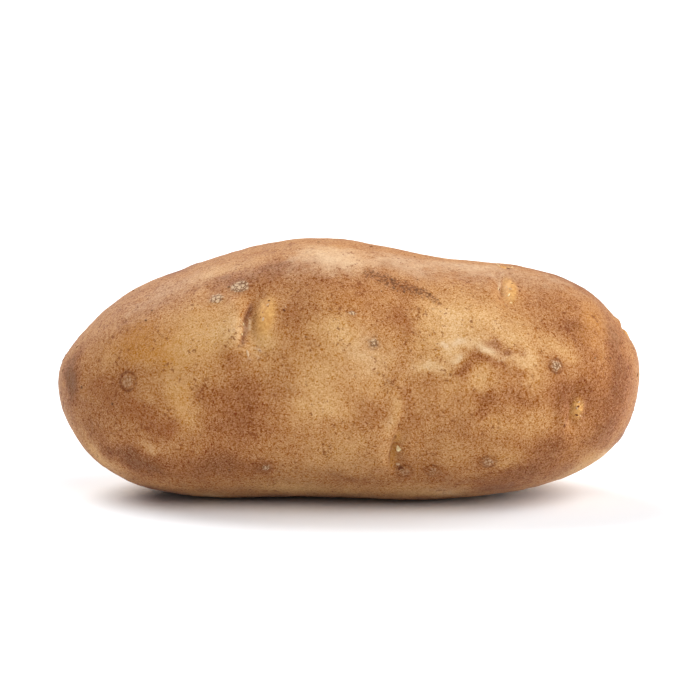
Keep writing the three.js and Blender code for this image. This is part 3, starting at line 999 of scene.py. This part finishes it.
@dataclass(frozen=True)
class Crumbs:
    """Grains of dry soil that cling to the skin.

    The first places are listed, and the rest are drawn. No grain clings lower than
    `lowest`, and a higher `fewness` makes large grains rarer.
    """

    seed: int = 7
    count: int = 120
    smallest: float = 0.12
    largest: float = 0.34
    fewness: float = 2.5
    flatness: float = 0.5
    lowest: float = 5.0
    stretches: tuple[float, float] = (1.0, 2.0)
    leans: tuple[float, float] = (0.0, 180.0)
    band: Band = Band(half_length=64.0, furthest=88.0, turns=(-75.0, 255.0))
    set_places: tuple[Place, ...] = (
        Place(-48.0, 88.0), Place(5.0, 86.0), Place(12.3, 84.0), Place(14.6, 83.0),
        Place(64.0, 8.0), Place(64.2, 0.0), Place(9.4, 53.5), Place(-26.0, 51.0),
        Place(4.8, 56.0), Place(5.9, 54.6), Place(7.6, 54.2), Place(9.8, 48.4),
        Place(10.5, 46.9), Place(12.0, 46.8), Place(17.9, 43.2),
    )

    def scatter(self, skin: Skin) -> list[bpy.types.Object]:
        """Sets the grains on the skin.

        Args:
            skin: The finished skin.

        Returns:
            The grains.
        """
        draw = random.Random(self.seed)
        rest = self.count - len(self.set_places)
        places = [*self.set_places, *(self.band.draw_place(draw) for _ in range(rest))]
        grains = []
        for place in places:
            larger = draw.random() ** self.fewness
            size = self.smallest + (self.largest - self.smallest) * larger
            spot = skin.spot(place)
            if spot.centre[2] > self.lowest:
                stretch = draw.uniform(*self.stretches)
                lean = draw.uniform(*self.leans)
                grain = Bead((0.0, 0.0), size, Layer.SOIL, self.flatness, stretch, lean)
                grains.append(make_bead(skin, spot, grain, fineness=1))
        return grains


def make_bead(skin: Skin, spot: Spot, bead: Bead, fineness: int = 2) -> bpy.types.Object:
    """Makes a bead, flake or sliver whose lower half is sunk into the skin.

    Args:
        skin: The skin that it sits on.
        spot: The spot that the bead is measured from.
        bead: The bead's place, size and layer.
        fineness: How finely the ball it starts from is divided.

    Returns:
        The bead.
    """
    at = spot.centre + spot.along * bead.at[0] + spot.across * bead.at[1]
    found, hit, normal, _ = skin.body.closest_point_on_mesh(Vector(at) * MILLIMETRE)
    if not found:
        raise ValueError(f"no skin under the bead at {bead.at}")
    size = bead.radius * MILLIMETRE
    bpy.ops.object.select_all(action="DESELECT")
    bpy.ops.mesh.primitive_ico_sphere_add(subdivisions=fineness, radius=size, location=hit)
    ball = bpy.context.active_object
    lean = math.radians(bead.lean)
    length = Vector(spot.along * math.cos(lean) + spot.across * math.sin(lean))
    width = normal.cross(length).normalized()
    axes = Matrix((width.cross(normal), width, normal))
    ball.rotation_mode = "QUATERNION"
    ball.rotation_quaternion = axes.transposed().to_quaternion()
    ball.scale = (bead.stretch, 1.0, bead.height)
    bpy.ops.object.transform_apply(location=True, rotation=True, scale=True)
    for layer in Layer:
        full = 1.0 if layer is bead.layer else 0.0
        keep_layer(ball.data, layer, np.full(len(ball.data.vertices), full))
    bpy.ops.object.shade_smooth()
    return ball


def choose_only(piece: bpy.types.Object) -> None:
    """Selects one object and nothing else, and makes it the active one."""
    bpy.ops.object.select_all(action="DESELECT")
    piece.select_set(True)
    bpy.context.view_layer.objects.active = piece


class Board:
    """A material's node board, and short ways to set and wire nodes on it."""

    def __init__(self, material: bpy.types.Material) -> None:
        """Clears the board of a material."""
        material.use_nodes = True
        self.tree = material.node_tree
        self.tree.nodes.clear()

    def node(self, kind: str, **settings: object) -> bpy.types.Node:
        """Adds a node.

        Args:
            kind: Blender's name for the kind of node.
            settings: Properties to set on it.

        Returns:
            The node.
        """
        made = self.tree.nodes.new(kind)
        for name, value in settings.items():
            setattr(made, name, value)
        return made

    def feed(self, socket: Socket, value: object) -> None:
        """Wires an output to a socket, or sets the socket to a plain value."""
        if isinstance(value, Socket):
            self.tree.links.new(value, socket)
        else:
            socket.default_value = value

    def sum(self, operation: str, first: object, second: object) -> Socket:
        """Works out a sum of two values.

        Args:
            operation: Blender's name for the sum.
            first: An output or a number.
            second: An output or a number.

        Returns:
            The result's output.
        """
        made = self.node("ShaderNodeMath", operation=operation)
        self.feed(made.inputs[0], first)
        self.feed(made.inputs[1], second)
        return made.outputs[0]

    def times(self, value: object, number: object) -> Socket:
        """Multiplies a value by a number or an output."""
        return self.sum("MULTIPLY", value, number)

    def plus(self, first: object, second: object, times: float) -> Socket:
        """Adds a second value, so many times over, to a first."""
        return self.sum("ADD", first, self.times(second, times))

    def centred(self, value: object) -> Socket:
        """Shifts noise, which lies round a half, so that it lies round 0."""
        return self.sum("SUBTRACT", value, 0.5)

    def range(self, value: object, low: float, high: float, start: float = 0.0,
              end: float = 1.0) -> Socket:
        """Eases a value from one range to another, and holds it there.

        Args:
            value: An output.
            low: The value that becomes `start`.
            high: The value that becomes `end`.
            start: The result at the low value.
            end: The result at the high value.

        Returns:
            The result's output.
        """
        made = self.node("ShaderNodeMapRange", interpolation_type="SMOOTHSTEP")
        for socket, number in zip(made.inputs[:5], (value, low, high, start, end)):
            self.feed(socket, number)
        return made.outputs[0]

    def mix(self, share: object, first: object, second: object, blend: str = "MIX") -> Socket:
        """Mixes two colours.

        Args:
            share: How much of the second colour there is.
            first: A colour or an output.
            second: A colour or an output.
            blend: Blender's name for the way of mixing.

        Returns:
            The mixed colour's output.
        """
        made = self.node("ShaderNodeMix", data_type="RGBA", blend_type=blend)
        self.feed(made.inputs[0], share)
        self.feed(made.inputs[6], first)
        self.feed(made.inputs[7], second)
        return made.outputs[2]

    def noise(self, place: object, size: float, detail: float = 2.0, rough: float = 0.6,
              kind: str = "Fac") -> Socket:
        """Reads smooth noise.

        Args:
            place: The output that gives the place, in millimetres.
            size: The size of its lumps.
            detail: How many finer lumps are laid over them.
            rough: How strong the finer lumps are.
            kind: Which output is read.

        Returns:
            The noise's output.
        """
        made = self.node("ShaderNodeTexNoise", noise_dimensions="3D")
        self.feed(made.inputs["Vector"], place)
        self.feed(made.inputs["Scale"], 1.0 / size)
        self.feed(made.inputs["Detail"], detail)
        self.feed(made.inputs["Roughness"], rough)
        return made.outputs[kind]

    def cells(self, place: object, size: float, feature: str = "F1") -> Socket:
        """Reads a pattern of cells.

        Args:
            place: The output that gives the place, in millimetres.
            size: The size of a cell.
            feature: Blender's name for what is measured.

        Returns:
            The pattern's output.
        """
        made = self.node("ShaderNodeTexVoronoi", voronoi_dimensions="3D", feature=feature)
        self.feed(made.inputs["Vector"], place)
        self.feed(made.inputs["Scale"], 1.0 / size)
        return made.outputs["Distance"]

    def layer(self, layer: Layer) -> Socket:
        """Reads one of the skin's painted layers."""
        return self.node("ShaderNodeAttribute", attribute_name=layer.value).outputs["Fac"]

    def tint(self, colour: object, layer: Layer, tint: object, stray: object,
             edge: tuple[float, float], most: float) -> Socket:
        """Tints a colour where a layer is painted.

        Args:
            colour: The colour to tint.
            layer: The painted layer.
            tint: The colour or output that shows there.
            stray: What is added to the layer, so that its edge is ragged.
            edge: The amounts of the layer at which the tint begins and is full.
            most: How much of the tint shows where it is full.

        Returns:
            The tinted colour.
        """
        amount = self.sum("ADD", self.layer(layer), stray)
        return self.mix(self.range(amount, *edge, 0.0, most), colour, tint)


def linear(shade: Shade) -> tuple[float, float, float, float]:
    """Turns a colour as seen on a screen, 0 to 255, into Blender's own numbers."""
    parts = (channel / 255.0 for channel in shade)
    lit = [c / 12.92 if c <= 0.04045 else ((c + 0.055) / 1.055) ** 2.4 for c in parts]
    return (*lit, 1.0)


@dataclass(frozen=True)
class RussetSkin:
    """The finish of the skin: mottled golden and brown, netted, speckled and dull.

    A size is that of a pattern's lumps or cells.
    """

    deep: Shade = (106, 65, 38)
    brown: Shade = (150, 98, 61)
    tan: Shade = (178, 130, 83)
    gold: Shade = (198, 155, 104)
    straw: Shade = (210, 173, 129)
    cream: Shade = (219, 186, 146)
    ochre: Shade = (181, 125, 62)
    rust: Shade = (148, 92, 53)
    ash: Shade = (140, 102, 74)
    # Pale skin; along the top and on the eyes' lips also partly painted sheen and highlight.
    pale: Shade = (208, 178, 144)
    speck: Shade = (116, 58, 18)
    cork: Shade = (196, 168, 134)
    gap: Shade = (108, 72, 46)
    # The dark of scars and rings, which in the eyes' folds, slits and pits is painted shade.
    scar_and_shade: Shade = (92, 42, 12)
    soil: Shade = (98, 60, 33)
    honey: Shade = (190, 134, 70)
    amber: Shade = (217, 169, 102)
    shoot: Shade = (222, 200, 152)
    cloud_size: float = 5.5
    cluster_size: float = 4.5
    stain_size: float = 2.4
    blot_size: float = 1.9
    mote_size: float = 1.5
    lump_size: float = 1.1
    chip_size: float = 0.95
    net_size: float = 0.85
    fleck_size: float = 0.85
    bend_size: float = 0.8
    streak_size: float = 0.8
    crumb_size: float = 0.6
    pore_size: float = 0.45
    dust_size: float = 0.25
    contrast: float = 0.055
    shine: float = 0.1
    sheen: float = 0.06
    sheen_roughness: float = 0.45
    bump_strength: float = 0.55
    bump_height: float = 0.16

    def make(self) -> bpy.types.Material:
        """Builds the material.

        Returns:
            The material.
        """
        material = bpy.data.materials.new("russet_skin")
        board = Board(material)
        place = self._place(board)
        fine = board.noise(place, self.dust_size, detail=1.0)
        tone = self._tone(board, place)
        net = self._net(board, place)
        flecks = self._flecks(board, place, tone)
        grain = self._grain(board, place, net, fine)
        colour = self._ground(board, board.plus(tone, grain, times=0.5))
        colour = self._stains(board, place, colour)
        lightness = board.plus(0.5, grain, times=0.5)
        colour = board.mix(self.contrast, colour, lightness, "LINEAR_LIGHT")
        colour = board.mix(flecks, colour, linear(self.speck))
        colour = self._marks(board, place, colour, fine)
        shader = board.node("ShaderNodeBsdfPrincipled")
        board.feed(shader.inputs["Base Color"], colour)
        board.feed(shader.inputs["Roughness"], self._dullness(board, fine))
        board.feed(shader.inputs["Normal"], self._relief(board, place, fine, flecks, net))
        shader.inputs["Specular IOR Level"].default_value = self.shine
        shader.inputs["Sheen Weight"].default_value = self.sheen
        shader.inputs["Sheen Roughness"].default_value = self.sheen_roughness
        output = board.node("ShaderNodeOutputMaterial")
        board.feed(output.inputs["Surface"], shader.outputs[0])
        return material

    def _place(self, board: Board) -> Socket:
        """Gives the place on the potato in millimetres."""
        scaled = board.node("ShaderNodeMapping")
        board.feed(scaled.inputs["Vector"], board.node("ShaderNodeTexCoord").outputs["Object"])
        board.feed(scaled.inputs["Scale"], (1.0 / MILLIMETRE,) * 3)
        return scaled.outputs[0]

    def _bent(self, board: Board, place: object) -> Socket:
        """Bends the place a little, so that cells lose their straight sides."""
        bent = board.node("ShaderNodeVectorMath", operation="ADD")
        board.feed(bent.inputs[0], place)
        board.feed(bent.inputs[1], board.noise(place, self.bend_size, 1.0, 0.5, "Color"))
        return bent.outputs[0]

    def _tone(self, board: Board, place: object) -> Socket:
        """Breaks up the painted tone with clouds and motes.

        Args:
            board: The board to build on.
            place: The place in millimetres.

        Returns:
            The tone, which is below 0 on brown skin and above 0 on golden skin.
        """
        clouds = board.centred(board.noise(place, self.cloud_size, detail=3.0))
        motes = board.centred(board.noise(place, self.mote_size, detail=3.0, rough=0.65))
        tone = board.plus(board.layer(Layer.TONE), clouds, times=0.6)
        return board.plus(tone, motes, times=0.35)

    def _net(self, board: Board, place: object) -> Socket:
        """Draws the net of fine cracks between the skin's flakes."""
        edge = board.cells(self._bent(board, place), self.net_size, "DISTANCE_TO_EDGE")
        return board.range(edge, low=0.0, high=0.2, start=1.0, end=0.0)

    def _flecks(self, board: Board, place: object, tone: object) -> Socket:
        """Scatters dark flecks in clusters, more of them where the skin is brown.

        Args:
            board: The board to build on.
            place: The place in millimetres.
            tone: The tone of the skin.

        Returns:
            How dark each place is flecked.
        """
        cluster = board.centred(board.noise(place, self.cluster_size, rough=0.5))
        cluster = board.plus(cluster, tone, times=-0.08)
        ragged = board.plus(board.noise(place, self.fleck_size), cluster, times=0.45)
        small = board.range(ragged, low=0.61, high=0.72, end=0.75)
        blots = board.cells(place, self.blot_size)
        large = board.range(blots, low=0.12, high=0.26, start=0.45, end=0.0)
        large = board.times(large, board.range(cluster, low=0.0, high=0.12))
        clean = board.plus(1.0, board.layer(Layer.HONEY), times=-0.8)
        return board.times(board.sum("MAXIMUM", small, large), clean)

    def _grain(self, board: Board, place: object, net: object, fine: object) -> Socket:
        """Makes the grain of the skin: flakes of differing lightness between dark fine cracks.

        Args:
            board: The board to build on.
            place: The place in millimetres.
            net: The net of cracks.
            fine: The finest noise.

        Returns:
            What the grain adds to the tone.
        """
        pitted = board.noise(self._bent(board, place), self.pore_size, detail=1.0, rough=0.5)
        pores = board.range(pitted, low=0.34, high=0.5, start=-0.5, end=0.12)
        dusted = board.plus(pores, board.centred(fine), times=2.4)
        return board.plus(dusted, net, times=-0.35)

    def _ground(self, board: Board, tone: object) -> Socket:
        """Colours the skin by its tone.

        Args:
            board: The board to build on.
            tone: The tone.

        Returns:
            The colour.
        """
        ramp = board.node("ShaderNodeValToRGB")
        board.feed(ramp.inputs[0], board.range(tone, low=-1.3, high=1.7))
        stops = ramp.color_ramp.elements
        stops[0].color = linear(self.deep)
        stops[1].color = linear(self.cream)
        middle = ((0.23, self.brown), (0.45, self.tan), (0.68, self.gold), (0.87, self.straw))
        for position, shade in middle:
            stops.new(position).color = linear(shade)
        return ramp.outputs[0]

    def _stains(self, board: Board, place: object, colour: object) -> Socket:
        """Tints the ground with the broad stains.

        Args:
            board: The board to build on.
            place: The place in millimetres.
            colour: The ground's colour.

        Returns:
            The stained colour.
        """
        broken = board.centred(board.noise(place, self.stain_size, detail=3.0))
        broken = board.times(broken, 0.7)
        tints = (
            (Layer.OCHRE, self.ochre, 0.6), (Layer.RUST, self.rust, 0.65),
            (Layer.ASH, self.ash, 0.6), (Layer.PALE, self.pale, 0.75),
        )
        for layer, shade, most in tints:
            colour = board.tint(colour, layer, linear(shade), broken, edge=(0.05, 1.0), most=most)
        return colour

    def _marks(self, board: Board, place: object, colour: object, fine: object) -> Socket:
        """Colours the honey-coloured pads, the corky spots, soil, scars, the painted shade of the
        eyes' folds, slits and pits, and shoots.

        Args:
            board: The board to build on.
            place: The place in millimetres.
            colour: The skin's colour.
            fine: The finest noise.

        Returns:
            The colour with its marks.
        """
        dust = board.times(board.centred(fine), 0.5)
        streaks = board.range(board.noise(place, self.streak_size), low=0.3, high=0.7)
        amber = board.mix(streaks, linear(self.honey), linear(self.amber))
        colour = board.tint(colour, Layer.HONEY, amber, dust, edge=(0.1, 0.8), most=0.85)
        edges = board.cells(self._bent(board, place), self.chip_size, "DISTANCE_TO_EDGE")
        chip = board.range(edges, low=0.03, high=0.2)
        chips = board.mix(chip, linear(self.gap), linear(self.cork))
        coarse = board.times(dust, 1.2)
        colour = board.tint(colour, Layer.CORK, chips, coarse, edge=(0.05, 0.9), most=0.85)
        crumbs = board.centred(board.noise(place, self.crumb_size))
        clotted = board.plus(board.layer(Layer.SOIL), crumbs, times=2.6)
        clotted = board.range(clotted, low=0.2, high=0.75)
        smeared = board.range(board.layer(Layer.SOIL), low=0.02, high=0.3, end=0.85)
        colour = board.mix(board.times(clotted, smeared), colour, linear(self.soil))
        # Painted shade of the eyes' folds, slits and pits, and the dark of scars and rings.
        scar_and_shade = linear(self.scar_and_shade)
        colour = board.tint(colour, Layer.SCAR_AND_SHADE, scar_and_shade, dust, edge=(0.15, 0.95), most=0.9)
        return board.mix(board.layer(Layer.SHOOT), colour, linear(self.shoot))

    def _dullness(self, board: Board, fine: object) -> Socket:
        """Makes the skin dull, the honey-coloured pads and shoots less so."""
        dull = board.range(fine, low=0.3, high=0.7, start=0.5, end=0.68)
        smooth = board.sum("MAXIMUM", board.layer(Layer.HONEY), board.layer(Layer.SHOOT))
        return board.plus(dull, smooth, times=-0.14)

    def _relief(self, board: Board, place: object, fine: object, flecks: object,
                net: object) -> Socket:
        """Gives the skin its finest relief.

        Args:
            board: The board to build on.
            place: The place in millimetres.
            fine: The finest noise.
            flecks: How dark each place is flecked.
            net: The net of cracks.

        Returns:
            The normal.
        """
        lumps = board.times(board.noise(place, self.lump_size, detail=3.0), 1.2)
        height = board.plus(lumps, fine, times=0.6)
        height = board.plus(height, net, times=0.25)
        height = board.plus(height, flecks, times=-0.35)
        bump = board.node("ShaderNodeBump")
        bump.inputs["Strength"].default_value = self.bump_strength
        bump.inputs["Distance"].default_value = self.bump_height * MILLIMETRE
        board.feed(bump.inputs["Height"], height)
        return bump.outputs[0]


class Tuber:
    """The whole potato: one body of flesh and skin, with what clings to it.

    The solid's facets come apart, so corners within `MERGE` are joined. Each of the `CUTS`
    halves every edge and smooths the corners by `SMOOTHING`.
    """

    MERGE = 0.01
    CUTS = 2
    SMOOTHING = 0.5

    def __init__(self, node: bpy.types.Object) -> None:
        """Cuts the potato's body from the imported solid.

        Args:
            node: The solid's object.
        """
        self.body = self._cut_finer(node)
        self.skin = Skin(self.body)

    def _cut_finer(self, node: bpy.types.Object) -> bpy.types.Object:
        """Copies the solid, joins its facets and cuts each into sixteen smooth ones.

        Args:
            node: The solid's object.

        Returns:
            The finer copy.
        """
        body = bpy.data.objects.new("tuber_skin", node.data.copy())
        bpy.context.scene.collection.objects.link(body)
        body.data.materials.clear()
        choose_only(body)
        bpy.ops.object.mode_set(mode="EDIT")
        bpy.ops.mesh.select_all(action="SELECT")
        bpy.ops.mesh.remove_doubles(threshold=self.MERGE * MILLIMETRE)
        for _ in range(self.CUTS):
            bpy.ops.mesh.subdivide(number_cuts=1, smoothness=1.0)
            bpy.ops.mesh.vertices_smooth(factor=self.SMOOTHING, repeat=2)
        bpy.ops.object.mode_set(mode="OBJECT")
        bpy.ops.object.shade_smooth()
        return body

    def shape(self) -> None:
        """Shapes and paints the patches, the corky spots, the eyes and the pebbled skin."""
        for patch in PATCHES:
            patch.lay_on(self.skin)
        HiddenSides().lay_on(self.skin)
        for lenticel in LENTICELS:
            lenticel.lay_on(self.skin)
        for eye in self.eyes():
            eye.lay_on(self.skin)
        Pebbling().lay_on(self.skin)
        self.skin.settle()
        self.skin.store()

    def eyes(self) -> list[Eye]:
        """Lists all the potato's eyes."""
        seen = [BROWED_EYE, LOW_EYE, HIGH_EYE, KNOT_EYE, SHOULDER_EYE]
        return seen + [eye.grown() for eye in HIDDEN_EYES]

    def set_beads(self) -> None:
        """Sets the shoots' beads and the grains of soil, and joins them to the body."""
        beads = Crumbs().scatter(self.skin)
        for eye in self.eyes():
            spot = self.skin.spot(eye.place)
            beads += [make_bead(self.skin, spot, bead) for bead in eye.beads]
        LOG.info("%d beads and grains", len(beads))
        choose_only(self.body)
        for bead in beads:
            bead.select_set(True)
        bpy.ops.object.join()

    def dress(self) -> bpy.types.Object:
        """Gives the potato its finish and its place in the frame.

        Returns:
            The finished piece.
        """
        self.body.data.materials.append(RussetSkin().make())
        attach(self.body, "root")
        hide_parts("tuber")
        return self.body


@dataclass(frozen=True)
class SoftBox:
    """A broad soft light.

    `lean` is how many degrees it hangs off the vertical towards the front, and `side` towards the
    right.
    """

    name: str
    power: float
    spread: float
    lean: float
    side: float

    def hang(self) -> None:
        """Hangs the light."""
        lamp = bpy.data.lights.new(self.name, "SUN")
        lamp.energy = self.power
        lamp.angle = math.radians(self.spread)
        box = bpy.data.objects.new(self.name, lamp)
        across, ahead = math.tan(math.radians(self.side)), math.tan(math.radians(self.lean))
        towards = Vector((across, -ahead, 1.0))
        box.rotation_euler = towards.to_track_quat("Z", "Y").to_euler()
        bpy.context.scene.collection.objects.link(box)


@dataclass(frozen=True)
class Studio:
    """The plain white surface, the soft light from above, and the camera."""

    floor_reach: float = 9.0
    floor_shade: tuple[float, float, float] = (0.945, 0.97, 1.0)
    floor_roughness: float = 0.9
    floor_shine: float = 0.1
    sky: float = 0.26
    boxes: tuple[SoftBox, ...] = (
        SoftBox("back_box", power=3.2, spread=52.0, lean=-35.0, side=-35.0),
        SoftBox("front_box", power=1.3, spread=52.0, lean=40.0, side=30.0),
        SoftBox("side_box", power=2.9, spread=60.0, lean=0.0, side=60.0),
    )
    lens: float = 150.0
    distance: float = 653.5
    elevation: float = 9.5
    aim: tuple[float, float, float] = (0.27, 0.0, 32.4)

    def lay_floor(self) -> None:
        """Lays the surface that the potato rests on."""
        bpy.ops.object.select_all(action="DESELECT")
        bpy.ops.mesh.primitive_plane_add(size=2.0 * self.floor_reach)
        floor = bpy.context.active_object
        floor.name = "white_surface"
        material = bpy.data.materials.new("white_surface")
        board = Board(material)
        shader = board.node("ShaderNodeBsdfPrincipled")
        shader.inputs["Base Color"].default_value = (*self.floor_shade, 1.0)
        shader.inputs["Roughness"].default_value = self.floor_roughness
        shader.inputs["Specular IOR Level"].default_value = self.floor_shine
        output = board.node("ShaderNodeOutputMaterial")
        board.feed(output.inputs["Surface"], shader.outputs[0])
        floor.data.materials.append(material)

    def light(self) -> None:
        """Hangs the soft lights in a plain white room."""
        world = bpy.data.worlds.new("room")
        bpy.context.scene.world = world
        world.use_nodes = True
        background = world.node_tree.nodes["Background"]
        background.inputs[0].default_value = (1.0, 1.0, 1.0, 1.0)
        background.inputs[1].default_value = self.sky
        for box in self.boxes:
            box.hang()

    def set_camera(self) -> None:
        """Sets the camera at the height and distance that the potato is seen from."""
        rise = math.radians(self.elevation)
        back = Vector((0.0, -math.cos(rise), math.sin(rise)))
        data = bpy.data.cameras.new("camera")
        data.lens = self.lens
        camera = bpy.data.objects.new("camera", data)
        camera.location = (Vector(self.aim) + back * self.distance) * MILLIMETRE
        camera.rotation_euler = (-back).to_track_quat("-Z", "Y").to_euler()
        bpy.context.scene.collection.objects.link(camera)
        bpy.context.scene.camera = camera
        bpy.context.scene.view_settings.view_transform = "Standard"


def main() -> None:
    """Builds the potato and the studio in order."""
    logging.basicConfig(level=logging.INFO, format="%(name)s: %(message)s")
    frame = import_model()
    tuber = Tuber(frame["nodes"]["tuber"])
    LOG.info("body cut to %d points", len(tuber.skin.points))
    tuber.shape()
    LOG.info("eyes, corky spots and skin shaped")
    tuber.set_beads()
    piece = tuber.dress()
    LOG.info("%s dressed, %d faces", piece.name, len(piece.data.polygons))
    studio = Studio()
    studio.lay_floor()
    studio.light()
    studio.set_camera()


if __name__ == "__main__":
    main()
